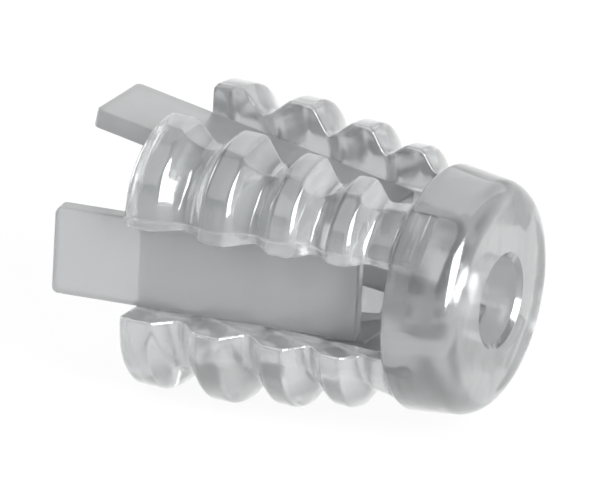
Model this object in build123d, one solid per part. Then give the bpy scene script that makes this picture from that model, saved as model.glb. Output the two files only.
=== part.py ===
from build123d import *
import os
from math import cos, radians, sin, sqrt, tan

# Push-in wall anchor in clear moulded plastic, in millimetres.
# The axis is X. The collar's outer face lies on the YZ plane, flush with the wall, and the anchor
# reaches into the wall along -X. Four ribbed jaws hang on the collar and leave four slots between
# them, one at the top, bottom, front (-Y) and back (+Y). Together they make a barrel that is square
# with well-rounded corners, so that it can't turn in its hole. A tapered wedge inside carries a flat
# strap in each slot. The fixing screw draws the wedge towards the collar and the jaws swing outwards.

# Collar: the smooth head that sits in the mouth of the drilled hole.
collar_length = 3.65
collar_root_radius = 6.33
collar_face_radius = 5.9
collar_edge_round = 1.1
collar_root_round = 0.25
screw_bore_radius = 2.25

# Jaws: corner shells with rounded barb ribs, finer towards the collar. Heights are from the axis to
# the flats of the square.
jaw_mouth = 17.8                            # distance from the collar's face to the open end
mouth_height = 6.1
first_rib = 16.8                            # distance from the collar's face to the widest rib
first_pitch = 3.95
pitch_ratio = 0.87
rib_heights = (7.15, 7.08, 6.63, 6.08)      # from the mouth to the collar
valley_heights = (6.1, 5.8, 5.45, 5.1)      # each on the collar side of its rib
corner_share = 1.16                         # radius of a rounded corner over the height of the flats
crest_share = 0.38                          # crest width over the local pitch
valley_share = 0.1
crest_round = 0.35
valley_round = 0.3
root_height = 5.3
root_gap = 0.15                             # between a jaw's root and the collar

# Hinges: a knuckle on each jaw, snapped into a socket in the collar.
hinge_height = 5.0
hinge_inset = 0.75                          # from the collar's inner face to the hinge axis
knuckle_radius = 0.5
knuckle_clearance = 0.05
neck_thickness = 0.5
neck_swing_room = 0.15

# Straps: flat bars that ride in the slots. Two of them reach out past the mouth as prongs.
strap_width = 4.6
strap_thickness = 1.0
strap_rake = 9.0                            # degrees that a strap leans out towards its far end
slide_travel = 2.2                          # how far the screw can draw the straps and wedge in
slide_end_room = 0.3                        # left between the straps and the collar at the end
long_strap_end = 21.95
long_strap_height = 6.32                    # height of the outer face at the prong's end
prong_corner_round = 0.35
slot_clearance = 0.1                        # on each side of a strap

# Wedge: the cone that the screw draws in.
wedge_near_end = 11.0
wedge_far_end = 17.8
wedge_inset = 0.05                          # the cone lies this much below the straps' outer faces
wedge_clearance = 0.12                      # between the cone and the jaws
wedge_corner_round = 0.3
screw_pilot_radius = 1.5
seat_overrun = 2.0
bore_overrun = 1.0

rake_slope = tan(radians(strap_rake))
slot_half = strap_width / 2 + slot_clearance
strap_near_end = collar_length + slide_travel + slide_end_room
hinge_x = -collar_length + hinge_inset
rib_pitches = [first_pitch * pitch_ratio**i for i in range(len(rib_heights))]


def strap_height(distance):
    """Height of a strap's outer face above the axis, at a distance from the collar's face."""
    return long_strap_height - (long_strap_end - distance) * rake_slope


def wedge_radius(distance):
    """Radius of the wedge's cone at a distance from the collar's face."""
    return strap_height(distance) - wedge_inset


def outline(points, rounds=()):
    """Flat profile through (x, height) points; rounds lists (corner, radius)."""
    profile = Polygon(*points, align=None)
    for corner, radius in rounds:
        nearest = profile.vertices().sort_by_distance((*corner, 0))[0]
        profile = fillet(nearest, radius)
    return profile


def revolved(points, rounds=()):
    """Turn a profile of (x, radius) points about the X axis."""
    return revolve(Plane.XZ * outline(points, rounds), Axis.X)


def collar():
    """Smooth tapered head with the screw's bore and the sockets for the knuckles."""
    face_corner = (0, collar_face_radius)
    root_corner = (-collar_length, collar_root_radius)
    points = [
        (0, screw_bore_radius),
        face_corner,
        root_corner,
        (-collar_length, screw_bore_radius),
    ]
    body = revolved(points, [(face_corner, collar_edge_round), (root_corner, collar_root_round)])
    for turn in range(4):
        body -= Rot(90 * turn, 0, 0) * hinge_socket()
    return body


def hinge_plane():
    """Plane at the hinge of the jaw half way between +Y and +Z: its Z runs along the hinge axis."""
    place = hinge_height / sqrt(2)
    return Plane(origin=(hinge_x, place, place), x_dir=(1, 0, 0), z_dir=(0, -1, 1))


def knuckle_width():
    """Length of the knuckle, which stays inside the jaw's width at the hinge."""
    return 2 * (hinge_height - slot_half * sqrt(2)) - neck_thickness


def hinge_socket():
    """Round socket with a mouth narrower than the knuckle, which lets the neck swing."""
    width = knuckle_width() + 2 * slot_clearance
    mouth = neck_thickness + 2 * neck_swing_room
    return hinge_plane() * (
        Cylinder(knuckle_radius + knuckle_clearance, width)
        + Pos(-hinge_inset, 0, 0) * Box(2 * hinge_inset, mouth, width)
    )


def hinge_knuckle():
    """Knuckle and the neck that joins it to the jaw's root."""
    neck_length = hinge_inset + root_gap + neck_thickness
    return hinge_plane() * (
        Cylinder(knuckle_radius, knuckle_width())
        + Pos(-neck_length / 2, 0, 0) * Box(neck_length, neck_thickness, knuckle_width())
    )


def rib_outline():
    """Corners of the ribs and valleys from the mouth to the collar, and their rounds."""
    points = []
    rounds = []
    crest_x = -first_rib
    for pitch, rib, valley in zip(rib_pitches, rib_heights, valley_heights):
        half_crest = crest_share * pitch / 2
        half_valley = valley_share * pitch / 2
        valley_x = crest_x + pitch / 2
        crests = [(crest_x - half_crest, rib), (crest_x + half_crest, rib)]
        valleys = [(valley_x - half_valley, valley), (valley_x + half_valley, valley)]
        points += crests + valleys
        rounds += [(corner, crest_round) for corner in crests]
        rounds += [(valleys[0], valley_round)]
        crest_x += pitch
    return points, rounds


def jaw_outline(root_x, share):
    """Profile of a jaw from the axis out, with its heights multiplied by share."""
    ribs, rounds = rib_outline()
    points = [(-jaw_mouth, 0), (-jaw_mouth, mouth_height), *ribs, (root_x, root_height), (root_x, 0)]
    return outline([(x, height * share) for x, height in points],
                   [((x, height * share), radius) for (x, height), radius in rounds])


def jaw():
    """Ribbed corner shell between +Y and +Z, with its knuckle.

    The ribs run straight across the top and the back, and round the corner between them.
    """
    root_x = -collar_length - root_gap
    reach = 2 * max(rib_heights)
    top = extrude(Plane.XZ * jaw_outline(root_x, 1), reach, both=True)
    back = Rot(-90, 0, 0) * top
    corner = revolve(Plane.XZ * jaw_outline(root_x, corner_share), Axis.X)
    quadrant = Pos(-jaw_mouth / 2, slot_half + reach / 2, slot_half + reach / 2) * Box(
        2 * jaw_mouth, reach, reach
    )
    near_bore = wedge_radius(wedge_near_end) + wedge_clearance
    shell = (corner & top & back) - jaw_bore(near_bore) + root_seat(root_x, near_bore)
    return (shell & quadrant) + hinge_knuckle()


def jaw_bore(near_bore):
    """Hollow that the wedge moves in: straight beside the collar, then following the wedge's cone."""
    far_end = jaw_mouth + bore_overrun
    return revolved([
        (0, 0),
        (0, near_bore),
        (-wedge_near_end, near_bore),
        (-far_end, wedge_radius(far_end) + wedge_clearance),
        (-far_end, 0),
    ])


def root_seat(root_x, near_bore):
    """Ring from the middle of a jaw's root wall to the knuckle's neck, wherever the hinge is set."""
    seat_radius = min(near_bore, hinge_height - neck_thickness / 2)
    wall_middle = (near_bore + root_height) / 2
    far_x = root_x - neck_thickness
    points = [
        (root_x, seat_radius),
        (root_x, wall_middle),
        (far_x, wall_middle),
        (far_x, seat_radius),
    ]
    return revolved(points)


def strap(far_end):
    """Flat bar in the top slot, from its near end to far_end, leaning outwards by the rake."""
    lean = radians(strap_rake)
    near_point = (-strap_near_end, 0, strap_height(strap_near_end))
    along = (-cos(lean), 0, sin(lean))
    outward = (sin(lean), 0, cos(lean))
    length = (far_end - strap_near_end) / cos(lean)
    bar = Plane(origin=near_point, x_dir=along, z_dir=outward) * Box(
        length, strap_width, strap_thickness, align=(Align.MIN, Align.CENTER, Align.MAX)
    )
    end_corners = bar.edges().filter_by(Axis(near_point, outward)).sort_by(Axis.X)[:2]
    return fillet(end_corners, prong_corner_round)


def wedge():
    """Tapered cone with the screw's pilot hole and a flat seat under each strap."""
    near = wedge_radius(wedge_near_end)
    far = wedge_radius(wedge_far_end)
    points = [
        (-wedge_near_end, screw_pilot_radius),
        (-wedge_near_end, near),
        (-wedge_far_end, far),
        (-wedge_far_end, screw_pilot_radius),
    ]
    body = revolved(points, [(points[1], wedge_corner_round)])
    seat = strap(long_strap_end + seat_overrun)
    for turn in range(4):
        body -= Rot(90 * turn, 0, 0) * seat
    return body


os.makedirs("parts", exist_ok=True)

quarter_turns = {"top_back": 0, "top_front": 90, "bottom_front": 180, "bottom_back": 270}
pieces = {"collar": collar(), "wedge": wedge()}
for place, angle in quarter_turns.items():
    pieces[f"jaw_{place}"] = Rot(angle, 0, 0) * jaw()
pieces["strap_top"] = strap(long_strap_end)
pieces["strap_front"] = Rot(90, 0, 0) * strap(long_strap_end)
pieces["strap_bottom"] = Rot(180, 0, 0) * strap(wedge_far_end)
pieces["strap_back"] = Rot(270, 0, 0) * strap(wedge_far_end)

for name, piece in pieces.items():
    export_step(piece, f"parts/{name}.step")
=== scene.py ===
"""Clear plastic push-in wall anchor: a ribbed barrel of four jaws, its collar, wedge and straps.

Lengths in the property groups are in metres. The anchor's axis is X, its collar faces +X and the
origin is the centre of the collar's outer face.
"""

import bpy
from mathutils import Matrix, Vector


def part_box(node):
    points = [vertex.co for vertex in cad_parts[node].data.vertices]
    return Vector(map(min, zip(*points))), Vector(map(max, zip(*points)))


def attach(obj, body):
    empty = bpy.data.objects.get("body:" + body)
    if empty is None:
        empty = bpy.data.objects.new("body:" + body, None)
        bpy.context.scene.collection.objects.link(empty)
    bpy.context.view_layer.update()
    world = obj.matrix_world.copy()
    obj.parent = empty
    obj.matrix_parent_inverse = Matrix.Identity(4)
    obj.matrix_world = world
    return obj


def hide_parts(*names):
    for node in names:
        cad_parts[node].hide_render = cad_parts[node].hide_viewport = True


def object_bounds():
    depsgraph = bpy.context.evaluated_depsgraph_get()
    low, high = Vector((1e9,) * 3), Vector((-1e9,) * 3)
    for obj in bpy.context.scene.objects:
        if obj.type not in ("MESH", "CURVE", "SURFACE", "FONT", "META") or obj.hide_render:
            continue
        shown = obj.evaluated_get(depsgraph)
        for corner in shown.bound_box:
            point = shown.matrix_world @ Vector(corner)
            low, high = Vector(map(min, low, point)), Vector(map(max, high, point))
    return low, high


bl_info = {
    "name": "Clear Wall Anchor",
    "version": (1, 0, 0),
    "blender": (4, 5, 0),
    "location": "View3D > Sidebar > Wall Anchor",
    "description": "Builds a ribbed wall anchor in clear plastic round its packed frame",
    "category": "Add Mesh",
}

from math import cos, pi, radians, sin, tan

import bmesh
import bpy
import numpy as np
from bpy.props import FloatProperty, FloatVectorProperty, PointerProperty, StringProperty
from mathutils import Matrix, Vector

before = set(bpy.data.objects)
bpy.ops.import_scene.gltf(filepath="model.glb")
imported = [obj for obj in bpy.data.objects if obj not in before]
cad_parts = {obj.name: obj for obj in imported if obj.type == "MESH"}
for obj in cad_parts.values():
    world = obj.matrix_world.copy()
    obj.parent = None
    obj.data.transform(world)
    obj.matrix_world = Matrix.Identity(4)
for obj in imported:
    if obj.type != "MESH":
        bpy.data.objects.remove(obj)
CAD_BOX = [list(corner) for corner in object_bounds()]
COLLAR_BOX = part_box("collar")
STRAP_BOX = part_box("strap_top")
WEDGE_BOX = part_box("wedge")
JAW_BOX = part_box("jaw_top_front")

MM = 0.001
JAW_TURNS = {"top_back": 45, "top_front": 135, "bottom_front": 225, "bottom_back": 315}
STRAP_TURNS = {"top": 90, "front": 180, "bottom": 270, "back": 0}
FLOOR_GAP = 0.02 * MM
CAMERA_AZIMUTH = 25.88
CAMERA_ELEVATION = 20.87
CAMERA_ROLL = 3.0
CAMERA_DISTANCE = 0.8
CAMERA_LENS = 957
# name, azimuth and elevation in degrees, distance, width and height in metres, watts
SOFT_LIGHTS = (
    ("key_light", -25, 55, 0.5, 0.50, 0.50, 0.8),
    ("right_strip", 70, 20, 0.5, 0.24, 0.42, 5.0),
    ("left_strip", -98, 8, 0.5, 0.16, 0.34, 1.0),
    ("back_light", 190, 50, 0.5, 0.60, 0.60, 0.8),
)


def view_direction(azimuth, elevation):
    """Unit vector at an azimuth from -Y towards +X and an elevation, in degrees."""
    a, e = radians(azimuth), radians(elevation)
    return Vector((sin(a) * cos(e), -cos(a) * cos(e), sin(e)))


def length(name, description, default):
    """A length property in metres, from a default in millimetres."""
    return FloatProperty(
        name=name, description=description, default=default * MM, min=0, unit="LENGTH", precision=5
    )


def lengths(name, description, defaults):
    """A row of length properties in metres, from defaults in millimetres."""
    return FloatVectorProperty(
        name=name,
        description=description,
        default=[value * MM for value in defaults],
        size=len(defaults),
        unit="LENGTH",
        precision=5,
    )


def colour(name, description, default):
    """A colour property that holds sRGB hex digits."""
    return StringProperty(name=name, description=description, default=default)


class AnchorSizes(bpy.types.PropertyGroup):
    """Sizes of the anchor's moulded pieces."""

    rib_heights: lengths("Rib heights", "From the mouth to the collar", (7.18, 7.12, 6.67, 6.12))
    valley_heights: lengths("Valley heights", "From the mouth to the collar", (6.1, 5.8, 5.45, 5.1))
    corner_share: FloatProperty(
        name="Corner share", description="Radius of a jaw's corner over its height", default=1.16
    )
    first_rib: length("First rib", "Distance of the widest rib from the collar's face", 16.8)
    first_pitch: length("First pitch", "Distance between the two widest ribs", 3.95)
    pitch_ratio: FloatProperty(
        name="Pitch ratio", description="Each pitch over the one before", default=0.87
    )
    root_height: length("Root height", "Height of a jaw next to the collar", 5.3)
    edge_round: length("Edge round", "Rounding of the jaws' edges", 0.16)
    mouth_round: length("Mouth round", "Rounding of the jaws' ends", 0.4)
    slot_half: length("Slot half width", "From a slot's middle to a jaw's side", 2.4)
    wedge_gap: length("Wedge gap", "Between the jaws and the wedge", 0.12)
    hinge_height: length("Hinge height", "Height of the jaws' hinges over the axis", 5.0)
    hinge_x: length("Hinge distance", "Distance of the hinges from the collar's face", 2.9)
    knuckle_radius: length("Knuckle radius", "Radius of the knuckles", 0.5)
    neck_thickness: length("Neck thickness", "Thickness of the knuckles' necks", 0.5)
    strap_width: length("Strap width", "Width of the straps", 4.6)
    strap_thickness: length("Strap thickness", "Thickness of the straps", 1.0)
    strap_round: length("Strap edge round", "Rounding along the straps' edges", 0.1)
    prong_round: length("Prong corner round", "Rounding of the prongs' corners", 0.35)
    strap_rake: FloatProperty(
        name="Strap rake", description="Lean of the straps", default=radians(9), subtype="ANGLE"
    )
    bore_radius: length("Bore radius", "Radius of the screw's bore in the collar", 2.25)
    pilot_radius: length("Pilot radius", "Radius of the screw's hole in the wedge", 1.5)
    collar_root: length("Collar root radius", "Radius of the collar next to the jaws", 6.33)
    collar_face: length("Collar face radius", "Radius of the collar at its outer face", 5.9)
    collar_round: length("Collar edge round", "Rounding of the collar's outer edge", 1.1)


class AnchorFinishes(bpy.types.PropertyGroup):
    """Colours of the anchor and its stage, as sRGB hex digits."""

    clear_tint: colour("Clear tint", "Moulded clear plastic", "D1D3D4")
    collar_tint: colour("Collar tint", "Thicker clear plastic of the collar", "ABADAE")
    # The wedge's hazed plastic is tinted near white as painted light: it is lifted to make up for the
    # shade that the jaws and straps cast on it.
    painted_light_wedge_tint: colour("Wedge tint with painted light", "Clear plastic with flow haze, painted lighter against shade", "F4F5F6")
    strap_tint: colour("Strap tint", "Straps with a matt mould face", "B4B6B7")
    floor_white: colour("Floor", "Stage floor", "FFFFFF")


def sizes():
    """The anchor's sizes as they stand in the scene."""
    return bpy.context.scene.anchor_sizes


# Meshes ---------------------------------------------------------------------------------------


def loft_faces(rows, columns, closed_rows=False):
    """Quads between neighbouring rows of a grid whose columns run round a closed loop."""
    last = rows if closed_rows else rows - 1
    row, column = np.meshgrid(np.arange(last), np.arange(columns), indexing="ij")
    after = (row + 1) % rows
    beside = (column + 1) % columns
    quads = [row * columns + column, row * columns + beside, after * columns + beside,
             after * columns + column]
    return np.stack(quads, axis=-1).reshape(-1, 4)


def new_piece(name, grid, body, material, closed_rows=False):
    """Put a grid of points (rows, columns, xyz) into a closed mesh object that rides on a body."""
    rows, columns = grid.shape[:2]
    faces = loft_faces(rows, columns, closed_rows)
    mesh = bpy.data.meshes.new(name)
    mesh.from_pydata(grid.reshape(-1, 3), [], faces)
    tidy = bmesh.new()
    tidy.from_mesh(mesh)
    bmesh.ops.remove_doubles(tidy, verts=tidy.verts, dist=0.0005 * MM)
    bmesh.ops.recalc_face_normals(tidy, faces=tidy.faces)
    tidy.to_mesh(mesh)
    tidy.free()
    mesh.shade_smooth()
    piece = bpy.data.objects.new(name, mesh)
    bpy.context.scene.collection.objects.link(piece)
    piece.data.materials.append(material)
    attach(piece, body)
    return piece


def sharpen(piece, angle):
    """Mark edges that turn by more than an angle in degrees as sharp for shading."""
    piece.data.set_sharp_from_angle(angle=radians(angle))


def rounded_loop(across, along, corner):
    """A rounded square as its inner square's points (a, c) and outward unit steps (b, d).

    A point is ((1 - e) a + e b, (1 - f) c + f d) for corner radii e and f. The loop starts at the
    lower left, runs along the bottom, right, top and left sides and turns a quarter circle at
    each corner.
    """
    parts = []
    for side, steps in enumerate((across, along, across, along)):
        turn = np.array(((cos(side * pi / 2), -sin(side * pi / 2)),
                         (sin(side * pi / 2), cos(side * pi / 2))))
        run = np.linspace(-1, 1, steps, endpoint=False)
        square = np.stack((run, np.full(steps, -1.0)))
        step = np.stack((np.zeros(steps), np.full(steps, -1.0)))
        arc = np.linspace(-pi / 2, 0, corner, endpoint=False)
        square = np.hstack((square, np.tile(((1.0,), (-1.0,)), corner)))
        step = np.hstack((step, np.stack((np.cos(arc), np.sin(arc)))))
        parts.append(np.vstack((turn @ square, turn @ step)))
    a, c, b, d = np.hstack(parts)
    return a, b, c, d


def quarter(count):
    """Angles from 0 to a quarter turn."""
    return np.linspace(0, pi / 2, count)


def place(x, height, offset, degrees_round):
    """Points at x, at a height along a radius and an offset square to it, turned about X."""
    turn = radians(degrees_round)
    y = height * cos(turn) - offset * sin(turn)
    z = height * sin(turn) + offset * cos(turn)
    return np.stack(np.broadcast_arrays(x, y, z), axis=-1)


# Shapes ---------------------------------------------------------------------------------------


def prong_end_x():
    """Where a prong's outer face ends: its inner face reaches further by the lean of its end."""
    return STRAP_BOX[0][0] + sizes().strap_thickness * sin(sizes().strap_rake)


def strap_height(x):
    """Height of a strap's outer face at x: a straight line through the prong's end."""
    return STRAP_BOX[1][2] - (x - prong_end_x()) * tan(sizes().strap_rake)


def wedge_radius(x):
    """Radius of the wedge's cone at x, a hair below the straps' outer faces."""
    return strap_height(x) - 0.05 * MM


def rib_profile(x):
    """Height of a jaw's flats at x.

    Straight lines join the ends of each rib's crest, 0.19 of its pitch to each side, and of the
    valley after it, 0.05 of the pitch to each side. The mean over half a millimetre, which weighs
    the middle most, rounds their corners.
    """
    s = sizes()
    pitches = s.first_pitch * s.pitch_ratio ** np.arange(len(s.rib_heights))
    ribs = -s.first_rib + np.concatenate(([0.0], np.cumsum(pitches)[:-1]))
    valleys = ribs + pitches / 2
    knots = np.stack((ribs - 0.19 * pitches, ribs + 0.19 * pitches,
                      valleys - 0.05 * pitches, valleys + 0.05 * pitches), axis=1).ravel()
    heights = np.stack((s.rib_heights, s.rib_heights, s.valley_heights, s.valley_heights), axis=1)
    knots = np.append(knots, COLLAR_BOX[0][0])
    heights = np.append(heights.ravel(), s.root_height)
    shift = np.linspace(-0.25, 0.25, 21) * MM
    weight = np.cos(np.linspace(-pi / 2, pi / 2, 23)[1:-1])
    lines = np.interp(x[:, None] + shift, knots, heights)
    return lines @ (weight / weight.sum())


def rounded_square(height, share, angle):
    """Radius of a square with rounded corners at angles from its diagonal.

    The square's half side is height and its corner radius is share times that. The 20th powers of
    one over the distances to two sides and to the corner's circle are added, and the radius is
    one over the 20th root.
    """
    sides = np.cos(pi / 4 - angle) ** 20 + np.cos(pi / 4 + angle) ** 20
    return height * (sides + share**-20) ** (-1 / 20)


def jaw_grid(turn):
    """Points of a jaw, as closed loops from the mouth to the knuckle.

    A loop is a rounded square whose sides are bent: its width is the angle between the jaw's two
    flat sides, which lie slot_half from the slots' middles, and its height runs from the bore's
    radius to the ribs' rounded square. At the root the loops close in to the neck, and the
    knuckle's height follows half a circle.
    """
    s = sizes()
    a, b, c, d = rounded_loop(60, 12, 5)
    mouth = JAW_BOX[0][0]
    root = COLLAR_BOX[0][0] - 0.15 * MM
    e, m = s.edge_round, s.mouth_round
    bend = quarter(9)[:-1]
    x = np.concatenate((mouth + m * (1 - np.cos(bend)), np.linspace(mouth + m, root - e, 190),
                        root - e + e * np.sin(quarter(6)[1:])))
    past = np.maximum(0, x - (root - e))
    near = e - np.sqrt(e**2 - np.minimum(past, e) ** 2)
    lip = np.concatenate((1 - np.sin(bend), np.zeros(195)))
    inset = (near + e * lip)[:, None]
    inner = wedge_radius(np.minimum(x, WEDGE_BOX[1][0])) + s.wedge_gap
    low = inner[:, None] + inset
    flats = (rib_profile(x) - near - m * lip)[:, None]
    high = flats * s.corner_share
    for _ in range(5):
        middle = (low + high) / 2
        share = e / middle / (pi / 4 - np.arcsin(s.slot_half / middle))
        wide = (1 - share) * a + share * b
        tall = (1 - 2 * e / (high - low)) * c + 2 * e / (high - low) * d
        radius = low + (tall + 1) / 2 * (high - low)
        angle = wide * (pi / 4 - np.arcsin(s.slot_half / radius) - inset / radius)
        high = rounded_square(flats, s.corner_share, angle)
    height = radius * np.cos(angle)
    offset = radius * np.sin(angle)

    neck_half = s.neck_thickness / 2
    knuckle_half = s.hinge_height - s.slot_half * 2**0.5 - neck_half
    hinge = -s.hinge_x
    circle = np.linspace(np.arcsin(neck_half / s.knuckle_radius), pi, 16)
    neck_x = np.concatenate(([root], hinge - s.knuckle_radius * np.cos(circle)))
    neck_half = np.concatenate(([neck_half], s.knuckle_radius * np.sin(circle)))[:, None]
    neck_height = s.hinge_height + neck_half * (0.8 * c + 0.2 * d)
    neck_offset = knuckle_half * (0.96 * a + 0.04 * b) * np.ones_like(neck_half)

    middle = (low[0] + flats[0]) / 2
    seam = wide[:1] * (pi / 4 - np.arcsin(s.slot_half / middle) - inset[0] / middle)
    all_x = np.concatenate(([mouth], x, neck_x))[:, None]
    all_height = np.vstack((middle * np.cos(seam), height, neck_height))
    all_offset = np.vstack((middle * np.sin(seam), offset, neck_offset))
    return place(all_x, all_height, all_offset, turn)


def strap_grid(turn, far_x):
    """Points of a strap, as rounded rectangles carried along a line that leans by the rake.

    Near the far end the half width shrinks by r (1 - cos q) as the end is reached at r sin q, so
    the corners are round. Both ends close to a line across the width.
    """
    s = sizes()
    a, b, c, d = rounded_loop(24, 6, 4)
    near_x = STRAP_BOX[1][0]
    lean = s.strap_rake
    run = (near_x - far_x) / cos(lean)
    e, r = s.strap_round, s.prong_round
    bend, soft = quarter(9), quarter(5)
    u = np.concatenate((e * (1 - np.cos(soft[:-1])), np.linspace(e, run - r, 120),
                        run - r + r * np.sin(bend[1:])))
    near_in = e * (1 - np.sin(soft[:-1]))
    flat = np.zeros(120)
    narrow = np.concatenate((near_in, flat, r * (1 - np.cos(bend[1:]))))[:, None]
    past = np.maximum(0, u - (run - e))
    thin = (np.concatenate((near_in, flat, np.zeros(8))) + e - np.sqrt(e**2 - past**2))[:, None]
    offset = (s.strap_width / 2 - narrow) * a + e * (b - a)
    depth = (s.strap_thickness / 2 - thin) * c + e * (d - c)
    u = np.concatenate(([0], u, [run]))[:, None]
    offset = np.vstack((offset[:1], offset, offset[-1:]))
    depth = np.vstack((0 * depth[:1], depth, 0 * depth[-1:])) - s.strap_thickness / 2
    x = near_x - u * cos(lean) + depth * sin(lean)
    height = strap_height(near_x) + u * sin(lean) + depth * cos(lean)
    return place(x, height, offset, turn)


def quartered_loop(radius, seat_height, seat_half, flat_steps, ridge_steps):
    """Loops of a round section with four flats, as (row, point) arrays of height and offset.

    In each quarter the loop crosses a flat at seat_height, climbs a wall at seat_half from its
    middle, and follows the circle to the next wall. Where the circle is lower than the flat, the
    loop stays on the circle.
    """
    radius = np.asarray(radius)[:, None]
    across = np.linspace(-seat_half, seat_half, flat_steps)[None, :]
    flat_height = np.minimum(np.asarray(seat_height)[:, None], np.sqrt(radius**2 - across**2))
    start = np.arcsin(seat_half / radius)
    ridge = start + (pi / 2 - 2 * start) * np.linspace(0, 1, ridge_steps)[None, :]
    quarter_y = np.hstack((across * np.ones_like(radius), radius * np.sin(ridge)))
    quarter_z = np.hstack((flat_height, radius * np.cos(ridge)))
    ys, zs = [], []
    for turn in range(4):
        t = -turn * pi / 2
        ys.append(quarter_y * cos(t) - quarter_z * sin(t))
        zs.append(quarter_y * sin(t) + quarter_z * cos(t))
    return np.hstack(ys), np.hstack(zs)


def tube_grid(x, y, z, bore, bore_x, face_steps):
    """Close loops (x, y, z) into a tube: in to the bore at each end and back through it.

    Between an end loop and the bore, points move in a straight line; the bore's points keep the
    end loops' angles.
    """
    angle = np.arctan2(z[-1], y[-1])
    ring_y, ring_z = bore[:, None] * np.cos(angle), bore[:, None] * np.sin(angle)
    mix = np.linspace(0, 1, face_steps)[1:-1, None]
    near_y = y[-1] + mix * (ring_y[0] - y[-1])
    near_z = z[-1] + mix * (ring_z[0] - z[-1])
    near_x = x[-1] + mix[:, 0] * (bore_x[0] - x[-1])
    far_y = ring_y[-1] + mix * (y[0] - ring_y[-1])
    far_z = ring_z[-1] + mix * (z[0] - ring_z[-1])
    far_x = bore_x[-1] + mix[:, 0] * (x[0] - bore_x[-1])
    all_x = np.concatenate((x, near_x, bore_x, far_x))[:, None] * np.ones_like(angle)
    all_y = np.vstack((y, near_y, ring_y, far_y))
    all_z = np.vstack((z, near_z, ring_z, far_z))
    return np.stack((all_x, all_y, all_z), axis=-1)


def wedge_grid():
    """Points of the wedge: a cone with a flat seat under each strap, and the pilot hole."""
    s = sizes()
    far, near = WEDGE_BOX[0][0], WEDGE_BOX[1][0]
    e = 0.3 * MM
    bend = quarter(6)
    x = np.concatenate((np.linspace(far, near - e, 60), near - e + e * np.sin(bend[1:])))
    radius = wedge_radius(x) - np.concatenate((np.zeros(60), e * (1 - np.cos(bend[1:]))))
    seat = strap_height(x) - s.strap_thickness / cos(s.strap_rake)
    # Each end face first comes in to the circle through the seats' corners.
    ends = [0, -1]
    level = np.minimum(radius[ends], np.hypot(seat[ends], s.strap_width / 2))
    x, seat = x[[0, *range(x.size), -1]], seat[[0, *range(x.size), -1]]
    radius = np.concatenate((level[:1], radius, level[1:]))
    y, z = quartered_loop(radius, seat, s.strap_width / 2, 18, 24)
    bore_x = np.linspace(near, far, 24)
    return tube_grid(x, y, z, np.full(24, s.pilot_radius), bore_x, 8)


def collar_grid():
    """Points of the collar: a blunt cone with a rounded outer edge and the bore.

    The outer edge is a quarter circle, the root edge a smaller one, and the bore's mouth has a
    short lead-in cone.
    """
    s = sizes()
    root, face = COLLAR_BOX[0][0], COLLAR_BOX[1][0]
    r, e = s.collar_round, 0.25 * MM
    bend = quarter(16)
    soft = quarter(6)
    x = np.concatenate((root + e * (1 - np.cos(soft[:-1])), np.linspace(root + e, face - r, 50),
                        face - r + r * np.sin(bend[1:])))
    drop = np.concatenate((e * (1 - np.sin(soft[:-1])), np.zeros(50), r * (1 - np.cos(bend[1:]))))
    slope = (s.collar_root - s.collar_face) / (root - face)
    radius = (s.collar_face + slope * (x - face) - drop)[:, None]
    angle = np.linspace(0, 2 * pi, 240, endpoint=False)
    lead = 0.25 * MM
    bore_x = np.concatenate(([face], np.linspace(face - lead, root, 30)))
    bore = np.concatenate(([s.bore_radius + lead], np.full(30, s.bore_radius)))
    return tube_grid(x, radius * np.cos(angle), radius * np.sin(angle), bore, bore_x, 10)


def socket_grid(turn):
    """Points of the space that a knuckle takes in the collar, as loops along X.

    The half height is the mouth's half height, and then follows half a circle round the hinge.
    """
    s = sizes()
    a, b, c, d = rounded_loop(6, 4, 3)
    room = s.knuckle_radius + 0.05 * MM
    mouth_half = s.neck_thickness / 2 + 0.15 * MM
    circle = np.linspace(np.arcsin(mouth_half / room), pi, 24)
    root = COLLAR_BOX[0][0] - 0.1 * MM
    x = np.concatenate(([root, root], -s.hinge_x - room * np.cos(circle)))[:, None]
    half = np.concatenate(([0, mouth_half], room * np.sin(circle)))[:, None]
    wide = s.hinge_height - s.slot_half * 2**0.5 - s.neck_thickness / 2 + 0.1 * MM
    width = np.concatenate(([0], np.full(25, wide)))[:, None]
    return place(x, s.hinge_height + half * c, width * a, turn)


# Materials ------------------------------------------------------------------------------------


def linear(hex_digits):
    """Linear RGBA of an sRGB hex colour."""
    srgb = np.array([int(hex_digits[i : i + 2], 16) for i in (0, 2, 4)]) / 255
    rgb = np.where(srgb <= 0.04045, srgb / 12.92, ((srgb + 0.055) / 1.055) ** 2.4)
    return (*rgb.tolist(), 1.0)


def add_node(tree, kind, settings=(), links=()):
    """Add a node, set its attributes or input values, and link its inputs to other sockets."""
    node = tree.nodes.new(kind)
    for name, value in dict(settings).items():
        if isinstance(name, int) or name in node.inputs:
            node.inputs[name].default_value = value
        else:
            setattr(node, name, value)
    for name, socket in dict(links).items():
        tree.links.new(socket, node.inputs[name])
    return node


def new_material(name):
    """An empty node material and its output node."""
    material = bpy.data.materials.new(name)
    material.use_nodes = True
    material.node_tree.nodes.clear()
    output = add_node(material.node_tree, "ShaderNodeOutputMaterial")
    return material, material.node_tree, output


def per_metre(size_mm):
    """Noise scale that gives features of a size in millimetres on Object coordinates."""
    return 1 / (size_mm * MM)


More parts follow.
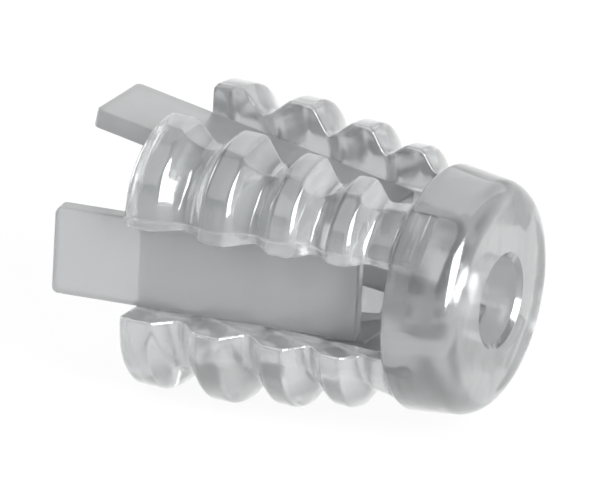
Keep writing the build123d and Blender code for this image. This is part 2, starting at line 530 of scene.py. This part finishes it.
def hazed_plastic(name, tint, clear_share, roughness, wave, grain, wave_mm=1.6, grain_mm=0.1):
    """Natural polycarbonate from an injection mould.

    Light goes through a share of it and the rest scatters in its flow haze. Shrinkage makes long
    soft waves in the faces, the mould's texture leaves a fine grain, and the skin that cooled
    against the mould is glossy.
    """
    material, tree, output = new_material(name)
    coordinates = add_node(tree, "ShaderNodeTexCoord")
    waves = add_node(
        tree, "ShaderNodeTexNoise",
        {"Scale": per_metre(wave_mm), "Detail": 2.0, "Roughness": 0.45},
        {"Vector": coordinates.outputs["Object"]},
    )
    fine = add_node(
        tree, "ShaderNodeTexNoise",
        {"Scale": per_metre(grain_mm), "Detail": 3.0, "Roughness": 0.6},
        {"Vector": coordinates.outputs["Object"]},
    )
    swell = add_node(
        tree, "ShaderNodeBump", {"Strength": wave, "Distance": 0.1 * MM},
        {"Height": waves.outputs["Fac"]},
    )
    bump = add_node(
        tree, "ShaderNodeBump", {"Strength": grain, "Distance": 0.01 * MM},
        {"Height": fine.outputs["Fac"], "Normal": swell.outputs["Normal"]},
    )
    polish = add_node(
        tree, "ShaderNodeMapRange",
        {"From Min": 0.3, "From Max": 0.7, "To Min": roughness * 0.85, "To Max": roughness * 1.15},
        {"Value": waves.outputs["Fac"]},
    )
    shader = add_node(
        tree, "ShaderNodeBsdfPrincipled",
        {"Base Color": linear(tint), "IOR": 1.585, "Transmission Weight": clear_share,
         "Coat Weight": 1.0, "Coat Roughness": 0.06, "Coat IOR": 1.585},
        {"Roughness": polish.outputs["Result"], "Normal": bump.outputs["Normal"],
         "Coat Normal": swell.outputs["Normal"]},
    )
    tree.links.new(shader.outputs["BSDF"], output.inputs["Surface"])
    return material


def white_card(name, white, card_share):
    """Matt white paper card.

    The camera, glass and gloss see mostly its plain white, and a share of its lit face carries the
    soft shadow under the anchor.
    """
    material, tree, output = new_material(name)
    path = add_node(tree, "ShaderNodeLightPath")
    bounced = add_node(
        tree, "ShaderNodeMath", {"operation": "MAXIMUM"},
        {0: path.outputs["Is Glossy Ray"], 1: path.outputs["Is Transmission Ray"]},
    )
    seen = add_node(
        tree, "ShaderNodeMath", {"operation": "MAXIMUM"},
        {0: path.outputs["Is Camera Ray"], 1: bounced.outputs["Value"]},
    )
    share = add_node(
        tree, "ShaderNodeMath", {"operation": "MULTIPLY", 1: 1 - card_share},
        {0: seen.outputs["Value"]},
    )
    fibres = add_node(tree, "ShaderNodeTexNoise", {"Scale": per_metre(0.5), "Detail": 2.0})
    card = add_node(
        tree, "ShaderNodeBsdfDiffuse", {"Color": linear(white)},
    )
    plain = add_node(tree, "ShaderNodeEmission", {"Color": linear(white), "Strength": 1.0})
    mix = add_node(
        tree, "ShaderNodeMixShader", {},
        {0: share.outputs["Value"], 1: card.outputs["BSDF"], 2: plain.outputs["Emission"]},
    )
    tree.links.new(mix.outputs["Shader"], output.inputs["Surface"])
    return material


def studio_world(horizon, ceiling):
    """Room that is white round the horizon and darkens to a grey ceiling; the camera sees white."""
    world = bpy.data.worlds.new("studio")
    world.use_nodes = True
    tree = world.node_tree
    tree.nodes.clear()
    output = add_node(tree, "ShaderNodeOutputWorld")
    direction = add_node(tree, "ShaderNodeTexCoord")
    split = add_node(tree, "ShaderNodeSeparateXYZ", {}, {"Vector": direction.outputs["Generated"]})
    level = add_node(
        tree, "ShaderNodeMapRange",
        {"From Min": 0.1, "From Max": 0.4, "To Min": horizon, "To Max": ceiling},
        {"Value": split.outputs["Z"]},
    )
    path = add_node(tree, "ShaderNodeLightPath")
    seen = add_node(
        tree, "ShaderNodeMath", {"operation": "MAXIMUM"},
        {0: path.outputs["Is Camera Ray"], 1: level.outputs["Result"]},
    )
    light = add_node(tree, "ShaderNodeBackground", {}, {"Strength": seen.outputs["Value"]})
    light.inputs["Color"].default_value = (1, 1, 1, 1)
    tree.links.new(light.outputs["Background"], output.inputs["Surface"])
    bpy.context.scene.world = world


# Operators ------------------------------------------------------------------------------------


class ANCHOR_OT_jaws(bpy.types.Operator):
    """Build the four ribbed jaws with their knuckles"""

    bl_idname = "anchor.jaws"
    bl_label = "Jaws"

    def execute(self, context):
        tint = context.scene.anchor_finishes.clear_tint
        material = hazed_plastic("clear polycarbonate moulded", tint, 0.86, 0.13, 0.5, 0.5)
        for name, turn in JAW_TURNS.items():
            grid = jaw_grid(turn)
            piece = new_piece(f"ribbed_jaw_{name}", grid, f"jaw_{name}", material)
            sharpen(piece, 50)
            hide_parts(f"jaw_{name}")
        return {"FINISHED"}


class ANCHOR_OT_straps(bpy.types.Operator):
    """Build the four straps, two of which reach out as prongs"""

    bl_idname = "anchor.straps"
    bl_label = "Straps"

    def execute(self, context):
        tint = context.scene.anchor_finishes.strap_tint
        material = hazed_plastic("clear polycarbonate spark eroded", tint, 0.62, 0.35, 0.2, 0.5)
        for name, turn in STRAP_TURNS.items():
            far = prong_end_x() if name in ("top", "front") else WEDGE_BOX[0][0]
            grid = strap_grid(turn, far)
            piece = new_piece(f"guide_strap_{name}", grid, "expander", material)
            sharpen(piece, 50)
            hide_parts(f"strap_{name}")
        return {"FINISHED"}


class ANCHOR_OT_wedge(bpy.types.Operator):
    """Build the tapered wedge with its strap seats"""

    bl_idname = "anchor.wedge"
    bl_label = "Wedge"

    def execute(self, context):
        # Painted light: the wedge's near white tint stands in for light that the shade of the jaws and
        # straps takes from it.
        tint = context.scene.anchor_finishes.painted_light_wedge_tint
        material = hazed_plastic("clear polycarbonate hazed painted lighter", tint, 0.6, 0.2, 0.4, 0.5)
        piece = new_piece("spreading_wedge", wedge_grid(), "expander", material, True)
        sharpen(piece, 35)
        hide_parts("wedge")
        return {"FINISHED"}


class ANCHOR_OT_collar(bpy.types.Operator):
    """Build the smooth collar with its bore"""

    bl_idname = "anchor.collar"
    bl_label = "Collar"

    def execute(self, context):
        tint = context.scene.anchor_finishes.collar_tint
        material = hazed_plastic("clear polycarbonate polished", tint, 0.92, 0.12, 0.6, 0.5, 2.5)
        piece = new_piece("smooth_collar", collar_grid(), "head", material, True)
        sharpen(piece, 35)
        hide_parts("collar")
        return {"FINISHED"}


class ANCHOR_OT_stage(bpy.types.Operator):
    """Build the floor, lights and camera"""

    bl_idname = "anchor.stage"
    bl_label = "Stage"

    def execute(self, context):
        finishes = context.scene.anchor_finishes
        side = 3.0
        level = CAD_BOX[0][2] - FLOOR_GAP
        corners = [(-side, -side, level), (side, -side, level), (side, side, level),
                   (-side, side, level)]
        mesh = bpy.data.meshes.new("floor_card")
        mesh.from_pydata(corners, [], [(0, 1, 2, 3)])
        floor = bpy.data.objects.new("floor_card", mesh)
        context.scene.collection.objects.link(floor)
        floor.data.materials.append(white_card("paper card matt", finishes.floor_white, 0.07))
        studio_world(0.95, 0.3)
        centre = (Vector(CAD_BOX[0]) + Vector(CAD_BOX[1])) / 2
        for name, azimuth, elevation, distance, width, height, watts in SOFT_LIGHTS:
            lamp = bpy.data.lights.new(name, "AREA")
            lamp.shape = "RECTANGLE"
            lamp.size = width
            lamp.size_y = height
            lamp.energy = watts
            holder = bpy.data.objects.new(name, lamp)
            away = view_direction(azimuth, elevation)
            holder.location = centre + away * distance
            holder.rotation_euler = away.to_track_quat("Z", "Y").to_euler()
            context.scene.collection.objects.link(holder)
        self.camera(context)
        context.scene.view_settings.view_transform = "Standard"
        context.scene.cycles.max_bounces = 24
        context.scene.cycles.transmission_bounces = 24
        context.scene.cycles.glossy_bounces = 8
        return {"FINISHED"}

    def camera(self, context):
        """A long lens at the viewing angle, rolled a little about its own axis."""
        back = view_direction(CAMERA_AZIMUTH, CAMERA_ELEVATION)
        level = Vector((0, 0, 1)).cross(back).normalized()
        steep = back.cross(level)
        roll = radians(CAMERA_ROLL)
        right = level * cos(roll) + steep * sin(roll)
        up = steep * cos(roll) - level * sin(roll)
        lens = bpy.data.cameras.new("camera")
        lens.sensor_width = 36
        lens.lens = CAMERA_LENS
        lens.clip_start = 0.01
        lens.clip_end = 10
        camera = bpy.data.objects.new("camera", lens)
        aim = Vector((-0.010, 0, 0)) - right * 0.001127 + up * 0.000750
        place = aim + back * CAMERA_DISTANCE
        camera.matrix_world = Matrix.Translation(place) @ Matrix((right, up, back)).transposed().to_4x4()
        context.scene.collection.objects.link(camera)
        context.scene.camera = camera


class ANCHOR_PT_panel(bpy.types.Panel):
    """Buttons that build the anchor's pieces and its stage"""

    bl_idname = "ANCHOR_PT_panel"
    bl_label = "Wall Anchor"
    bl_space_type = "VIEW_3D"
    bl_region_type = "UI"
    bl_category = "Wall Anchor"

    def draw(self, context):
        for operator in OPERATORS:
            self.layout.operator(operator.bl_idname)


OPERATORS = (ANCHOR_OT_collar, ANCHOR_OT_jaws, ANCHOR_OT_wedge, ANCHOR_OT_straps, ANCHOR_OT_stage)
CLASSES = (AnchorSizes, AnchorFinishes, *OPERATORS, ANCHOR_PT_panel)


def register():
    """Register the classes and their properties."""
    for item in CLASSES:
        bpy.utils.register_class(item)
    bpy.types.Scene.anchor_sizes = PointerProperty(type=AnchorSizes)
    bpy.types.Scene.anchor_finishes = PointerProperty(type=AnchorFinishes)


def unregister():
    """Take the classes and their properties away."""
    del bpy.types.Scene.anchor_finishes
    del bpy.types.Scene.anchor_sizes
    for item in reversed(CLASSES):
        bpy.utils.unregister_class(item)


def main():
    """Build the anchor and its stage."""
    register()
    for operator in OPERATORS:
        group, name = operator.bl_idname.split(".")
        getattr(getattr(bpy.ops, group), name)()


if __name__ == "__main__":
    main()
